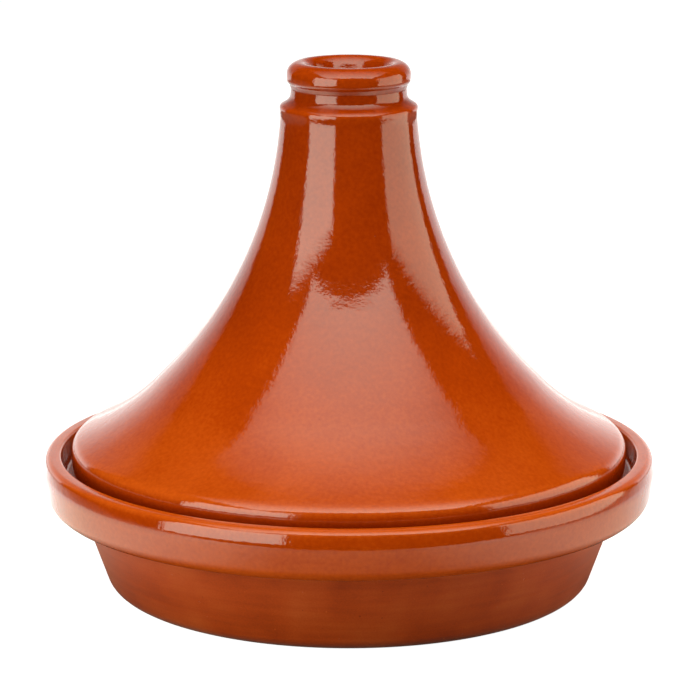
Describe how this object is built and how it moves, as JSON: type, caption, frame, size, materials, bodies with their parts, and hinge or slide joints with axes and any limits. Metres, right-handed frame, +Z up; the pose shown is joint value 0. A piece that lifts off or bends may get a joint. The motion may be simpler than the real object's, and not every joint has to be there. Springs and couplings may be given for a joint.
{
  "type": "tagine pot",
  "caption": "Round cooking dish of glazed earthenware with a tall conical lid that lifts off by the hollow ringed knob at its tip.",
  "frame": {"origin": "centre of the dish's flat base, on the surface it stands on", "axes": "+Z up along the axis of the wheel that both pieces were turned on; the object is round, so +X and +Y are any level directions"},
  "size_m": [0.2998, 0.2998, 0.2581],
  "materials": {
    "clay": "bare fired red clay, matte",
    "glaze": "clear honey glaze over red clay, glossy"
  },
  "bodies": {
    "dish": {"dish_body": "clay", "dish_glaze": "glaze"},
    "lid": {"lid_body": "clay", "lid_glaze": "glaze", "lid_lining": "glaze"}
  },
  "joints": [
    {"name": "lid_lift", "type": "slide", "parent": "dish", "child": "lid", "axis": [0, 0, 1], "range_m": [0, 0.2]}
  ]
}
